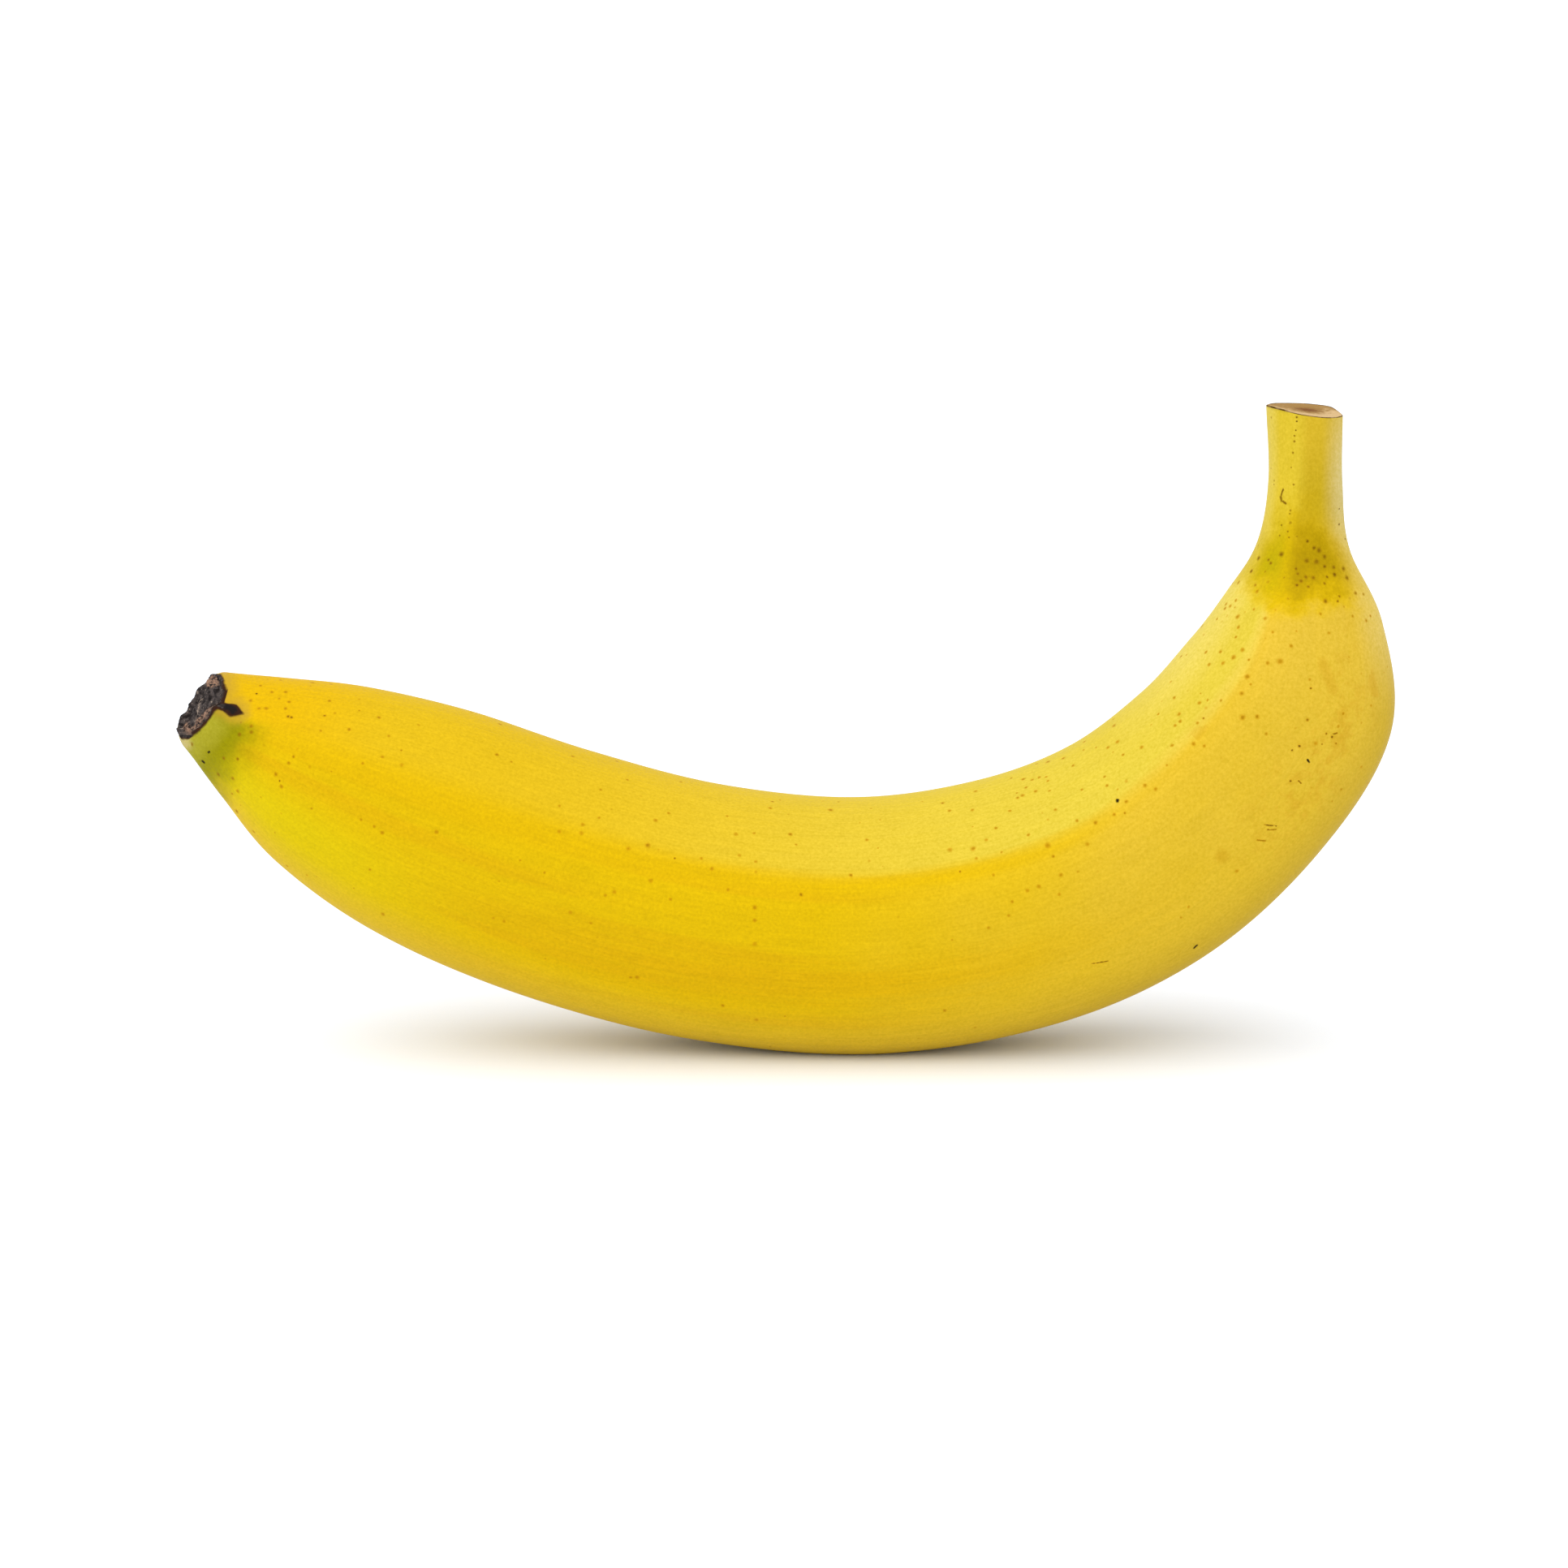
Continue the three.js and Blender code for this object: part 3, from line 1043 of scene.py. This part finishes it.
def body_colour(place, skin, streaks):
    """The back and the inside of the bend, the ridge between them with a painted highlight on its crest,
    the pale edge with a painted reflection, and the scuffs.
    """
    along, facing, inside = parts_of(skin)
    crest = inside - ramp(along, *RIDGE_INWARD_FADE) * 0.1
    on_upper = ramp(crest + (streaks - 0.5) * 0.12, 0.44, 0.58)
    colour = paint(back_colour(place, skin, streaks), upper_colour(skin), on_upper)
    reach = ramp(along, *RIDGE_REACH_FADE, 0.1, 0.24)
    on_ridge = bump_at(crest, 0.47, reach) * ramp(along, *RIDGE_FADE, 0.1, 0.85)
    colour = paint(colour, RIDGE_YELLOW, on_ridge)
    # A pale lemon line along the crest is a painted highlight.
    painted_ridge_highlight = bump_at(crest, 0.5, 0.09) * ramp(along, *RIDGE_HIGHLIGHT_FADE)
    colour = paint(colour, PALE_LEMON_AND_SHEEN, painted_ridge_highlight * 0.35)
    # Cream where the outer flank faces near: partly the peel's paler tone, partly a painted reflection.
    on_edge_sheen = ramp(inside, -0.45, -0.9) * ramp(facing, -0.3, 0.4)
    colour = paint(colour, EDGE_CREAM_AND_SHEEN, ramp(along, *EDGE_SHEEN_FADE) * on_edge_sheen * 0.9)
    scuffed = bump_at(along, *SCUFF_BAND) * bump_at(inside, -0.4, 0.5)
    smears = noise(place, SCUFF_SIZE, 5.0, 0.65)
    return paint(colour, SCUFF, scuffed * ramp(smears, 0.45, 0.66) * 0.5)


STEM_FADE = (197 * MM, 207 * MM)
STEM_YELLOW = linear(202, 176, 44)
STEM_GOLD = linear(182, 153, 24)
STEM_BRIGHT = linear(195, 163, 36)
STEM_BRIGHT_FADE = (207 * MM, 219 * MM)
# Pale cream on the stem's outer side where it faces near: painted reflection.
STEM_SHEEN = linear(206, 190, 132)
STEM_SHEEN_BAND = (210 * MM, 20 * MM)


def stem_layer(colour, skin):
    """The stem's flat sides: golden between the inside and the outside of the bend, pale lemon to the
    inside, partly a painted reflection, and pale cream to the outside where it faces near, a painted
    reflection.
    """
    along, facing, inside = parts_of(skin)
    gold = paint(STEM_GOLD, STEM_BRIGHT, ramp(along, *STEM_BRIGHT_FADE))
    stem = paint(STEM_YELLOW, gold, ramp(inside, 0.56, 0.12))
    stem = paint(stem, PALE_LEMON_AND_SHEEN, ramp(inside, 0.84, 1.0) * 0.6)
    outer_sheen = ramp(inside, -0.15, -1.2) * ramp(facing, 0.1, 0.6)
    stem = paint(stem, STEM_SHEEN, outer_sheen * bump_at(along, *STEM_SHEEN_BAND))
    return paint(colour, stem, ramp(along, *STEM_FADE))


# The neck's shade. Its lower edge dips from the back to the ridge. On the inside of the bend that edge
# rises, the gold below it is narrower, and the upper edge dips. Lower down it spreads to the back.
NECK_GREEN = linear(172, 152, 2)
NECK_OLIVE = linear(164, 134, 2)
NECK_LOWER_FADE = (193 * MM, 199 * MM)
NECK_LOWER_DIP = 2 * MM
NECK_LOWER_RISE = 0.8 * MM
NECK_GOLD_FADE = (191 * MM, 196 * MM)
NECK_GOLD_RISE = 1.2 * MM
NECK_UPPER_FADE = (210 * MM, 199.5 * MM)
NECK_UPPER_DIP = 2 * MM
NECK_SPREAD_FADE = (206 * MM, 198 * MM)


def neck_layer(colour, skin, mottle):
    """The neck's green and olive shade above a golden border, laid over the colours that meet there."""
    along, _facing, inside = parts_of(skin)
    shade = paint(NECK_OLIVE, NECK_GREEN, ramp(inside, 0.3, 0.62))
    shade = paint(shade, RIDGE_YELLOW, bump_at(inside, 0.5, 0.2) * 0.35)
    height = along + mottle * 9 * MM
    on_inside = ramp(inside, 0.45, 0.85)
    above = height + ramp(inside, 0.0, 0.4) * NECK_LOWER_DIP - on_inside * NECK_LOWER_RISE
    spread = inside + ramp(height, *NECK_SPREAD_FADE) * 0.35
    amount = ramp(height + on_inside * NECK_UPPER_DIP, *NECK_UPPER_FADE) * ramp(spread, -0.7, 0.05)
    amount = amount * ramp(inside, 0.8, 1.05, 1.0, 0.3)
    golden = ramp(above - on_inside * NECK_GOLD_RISE, *NECK_GOLD_FADE)
    colour = paint(colour, SUN_YELLOW, golden * amount)
    return paint(colour, shade, ramp(above, *NECK_LOWER_FADE) * amount)


TIP_GREEN = linear(140, 132, 2)
TIP_GREEN_FADE = (12.5 * MM, 4 * MM)
TIP_LIME = linear(162, 154, 40)
TIP_LIME_FADE = (4.5 * MM, 0.5 * MM)
TIP_BEIGE = linear(186, 170, 104)
TIP_BEIGE_FADE = (1.6 * MM, 0.2 * MM)


def tip_layer(colour, skin, mottle):
    """The green that is left round the blossom end, limy at its edge."""
    along, _facing, inside = parts_of(skin)
    green = ramp(along + mottle * 5 * MM, *TIP_GREEN_FADE)
    colour = paint(colour, TIP_GREEN, green * ramp(inside + mottle * 0.4, 0.62, 0.34))
    lime = ramp(along + mottle * 3 * MM, *TIP_LIME_FADE) * ramp(inside, 0.5, 0.2)
    colour = paint(colour, TIP_LIME, lime * 0.8)
    return paint(colour, TIP_BEIGE, ramp(along, *TIP_BEIGE_FADE) * ramp(inside, -0.6, -0.9))


# Halos are orange on yellow peel and olive where the neck and the tip are green.
HALO_ORANGE = linear(181, 131, 2)
HALO_OLIVE = linear(138, 104, 2)
OLIVE_NECK_FADE = (190 * MM, 200 * MM)
OLIVE_TIP_FADE = (12 * MM, 6 * MM)
SPECK_BROWN = linear(84, 50, 1)
SPECK_BLACK = linear(36, 25, 4)
MARK_VARIETY = 1.7 * MM
MARK_WANDER = 0.25 * MM
WANDER_SIZE = 0.4 * MM


def marks_layer(colour, tree, place, skin):
    """The nearest freckle or placed mark: a soft halo round a darker core, each a little different."""
    along, _facing, inside = parts_of(skin)
    radius, tone, _spare = parts_of(surface(tree, "mark_look"))
    middle = surface(tree, "mark_middle")
    radius = radius * ramp(noise(middle, MARK_VARIETY, 0.0), 0.25, 0.75, 0.7, 1.25)
    tone = tone * ramp(noise(middle + (1.0, 0.0, 0.0), MARK_VARIETY, 0.0), 0.25, 0.75, 0.85, 1.15)
    wander = (noise(place, WANDER_SIZE, 2.0) - 0.5) * MARK_WANDER
    gap = to_segment(place, middle, surface(tree, "mark_run")) + wander
    halo = ramp(gap, radius * 2.1, radius * 0.4) * ramp(tone, 0.0, 0.4) * ramp(tone, 1.0, 0.7)
    core = ramp(gap, radius * 1.1, radius * 0.3) * smaller(tone ** 3.0 * 1.5, 1.0)
    on_tip = ramp(along, *OLIVE_TIP_FADE) * ramp(inside, 0.6, 0.4)
    halo_shade = paint(HALO_ORANGE, HALO_OLIVE, ramp(along, *OLIVE_NECK_FADE) + on_tip)
    core_shade = paint(SPECK_BROWN, SPECK_BLACK, ramp(tone, 0.95, 1.1))
    colour = paint(colour, halo_shade, halo * 0.85, "DARKEN")
    return paint(colour, core_shade, core)


SCAR_BLACK = linear(30, 26, 25)
SCAR_GREY = linear(80, 72, 69)
SCAR_FLECK = linear(168, 148, 130)
SCAR_TAN = linear(152, 118, 96)
SCAR_RIM = linear(56, 32, 20)
SCAR_GRAIN = 0.8 * MM
FLECK_SIZE = 0.35 * MM
RIM_WIDTH = 0.12 * MM
RIM_WIDENS = 0.2 * MM
RIM_WIDENS_FADE = (1 * MM, 4 * MM)
RIM_SOFTNESS = 0.15 * MM
CRUSTY_FADE = (0.9 * MM, 0.3 * MM)
DRIED_FADE = (0.1 * MM, 0.6 * MM)


def scar_colour(tree, place, depth, along):
    """Grey black crust with pale flecks, a tan knob and a tan lip, inside a dark brown rim."""
    near, inward, _share = parts_of(surface(tree, "section"))
    knob, ridge, lip = scar_features(near, inward, depth, place)
    crust = noise(place, SCAR_GRAIN, 4.0, 0.65)
    flecks = noise(place, FLECK_SIZE, 3.0, 0.6)
    crumbs = ramp(flecks + crust, 0.85, 1.15)
    colour = paint(SCAR_BLACK, SCAR_GREY, ramp(crust, 0.36, 0.66))
    colour = paint(colour, SCAR_FLECK, ramp(flecks, 0.58, 0.7) * ramp(crust, 0.42, 0.6) * 0.8)
    colour = paint(colour, SCAR_FLECK, ridge * crumbs)
    colour = paint(colour, SCAR_TAN, lip * crumbs)
    colour = paint(colour, SCAR_TAN, ramp(knob, 0.4, 0.9) * crumbs)
    rim_width = ramp(near, *RIM_WIDENS_FADE) * RIM_WIDENS + RIM_WIDTH
    crusty = ramp(depth - rim_width, -RIM_SOFTNESS, RIM_SOFTNESS) * ramp(along, *CRUSTY_FADE)
    dried = paint(SCAR_RIM, SCAR_BLACK, ramp(depth + (crust - 0.5) * 1.5 * MM, *DRIED_FADE))
    return paint(dried, colour, crusty)


CUT_CREAM_AND_HIGHLIGHT = linear(196, 166, 120)
CUT_TAN = linear(174, 140, 90)
CUT_BROWN = linear(146, 112, 62)
CUT_PITH = linear(118, 76, 40)
CUT_RIM = linear(80, 56, 14)
CUT_GRAIN = 0.6 * MM
CUT_CLOUD = 2.6 * MM
CUT_PATCH = 1.3 * MM
HIGHLIGHT_NEAR_FADE = (0.5 * MM, 3.0 * MM)
PALE_OUTER_FADE = (-1.5 * MM, -3.5 * MM)
BROWN_FAR_FADE = (0.5 * MM, -2.5 * MM)
PITH_PLACE = (-1.0 * MM, -0.7 * MM, 0.0)
PITH_FADE = (2.2 * MM, 0.4 * MM)
PITH_EDGE_FADE = (3.6 * MM, 1.2 * MM)
THICK_RIM_FADE = (-1 * MM, -4 * MM)


def cut_colour(tree, place):
    """Tan and cream fibres round a brown pith, inside a thin dark rim, with cream along the near edge as a
    painted highlight.
    """
    near, inward, share = parts_of(surface(tree, "section"))
    fibres = noise(place, CUT_GRAIN, 4.0, 0.6) - 0.5
    clouds = noise(place, CUT_CLOUD, 3.0) - 0.5 + fibres
    # Cream comes in with the fibres at random, on the outer part, and along the near edge, where it is a
    # painted highlight.
    pale = ramp(near, *HIGHLIGHT_NEAR_FADE) * 0.5 + ramp(inward, *PALE_OUTER_FADE) * 0.4
    colour = paint(CUT_TAN, CUT_CREAM_AND_HIGHLIGHT, ramp(clouds + pale, 0.0, 0.5))
    colour = paint(colour, CUT_BROWN, ramp(near + clouds * 5 * MM, *BROWN_FAR_FADE) * 0.8)
    to_pith = length_of((vector(near, inward, 0.0) - PITH_PLACE) * (1.0, 0.9, 0.0))
    colour = paint(colour, CUT_BROWN, ramp(to_pith + fibres * 3 * MM, *PITH_EDGE_FADE) * 0.8)
    colour = paint(colour, CUT_PITH, ramp(to_pith + fibres * 1.6 * MM, *PITH_FADE))
    rim = share + fibres * 0.06 + ramp(near, *THICK_RIM_FADE) * 0.07
    patchy = ramp(noise(place, CUT_PATCH, 2.0), 0.35, 0.6, 0.65, 1.0)
    return paint(colour, CUT_RIM, ramp(rim, 0.965, 0.985) * patchy)


# What runs through the whole peel: streaks, fine hairlines that fade towards the neck, grain and mottle.
STREAK_LENGTH = 14 * MM
HAIR_LENGTH = 9 * MM
HAIR_FADE = (175 * MM, 120 * MM)
GRAIN_SIZE = 0.42 * MM
GRAIN_TINT = (0.34, 0.36, 1.2)
MOTTLE_SIZE = 3.5 * MM
PORE_DEPTH = 0.03 * MM
PEEL_SPECULAR = 0.03
PEEL_ROUGHNESS = (0.4, 0.56)
DRY_ROUGHNESS = 0.25

# The peel is drier by the scar's upper edge. The scar's own edge is crisp on the end face and frays
# along the spike.
DRY_EDGE = linear(166, 134, 48)
DRY_EDGE_FADE = (-3 * MM, 0.1 * MM)
FRAY_FADE = (0.5 * MM, 2 * MM)
SCAR_SOFTNESS = 0.16 * MM
SCAR_FULL = 0.1 * MM


def peel_finish():
    """The skin's finish: the peel with its marks, the scar and the cut."""
    material, tree, shader = start_finish("banana_peel", PEEL_SPECULAR)
    place = output(add_node(tree, "ShaderNodeTexCoord"), "Object")
    skin = surface(tree, "skin")
    along, _facing, inside = parts_of(skin)
    streaks = streaky_noise(skin, STREAK_LENGTH, 24.0, 3.0)
    hairs = streaky_noise(skin, HAIR_LENGTH, 60.0, 2.0) - 0.5
    grain = noise(place, GRAIN_SIZE, 2.0) + hairs * ramp(along, *HAIR_FADE, 0.05, 0.5)
    mottle = noise(place, MOTTLE_SIZE, 4.0, 0.6) - 0.5

    colour = body_colour(place, skin, streaks)
    colour = stem_layer(colour, skin)
    colour = neck_layer(colour, skin, mottle)
    colour = tip_layer(colour, skin, mottle)
    colour = marks_layer(colour, tree, place, skin)
    shade = (streaks - 0.5) * 0.1 + mottle * 0.08 + 1
    shade = vector(shade, shade, shade) + (grain - 0.5) * GRAIN_TINT
    colour = paint(colour, shade, 1.0, "MULTIPLY")

    depth = surface(tree, "scar_depth", "Fac")
    colour = paint(colour, DRY_EDGE, ramp(depth, *DRY_EDGE_FADE) * ramp(inside, 0.2, 0.5) * 0.6)
    frayed = ramp(along, *FRAY_FADE)
    on_scar = ramp(depth + mottle * frayed * 0.5 * MM, (frayed + 1) * -SCAR_SOFTNESS, SCAR_FULL)
    colour = paint(colour, scar_colour(tree, place, depth, along), on_scar)
    on_cut = ramp(surface(tree, "end_face", "Fac"), 0.95, 1.0)
    colour = paint(colour, cut_colour(tree, place), on_cut)

    feed(shader.inputs["Base Color"], colour)
    roughness = ramp(streaks + grain, 0.6, 1.4, *PEEL_ROUGHNESS) + (on_scar + on_cut) * DRY_ROUGHNESS
    feed(shader.inputs["Roughness"], roughness)
    pores = add_node(tree, "ShaderNodeBump", {
        "Strength": 1.0, "Distance": PORE_DEPTH, "Height": grain + streaks,
    })
    feed(shader.inputs["Normal"], output(pores))
    return material


camera = build_camera()
build_floor()
build_light()
fruit = build_fruit(camera, build_spine(), build_marks(camera), peel_finish())
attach(fruit, "root")
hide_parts("banana")
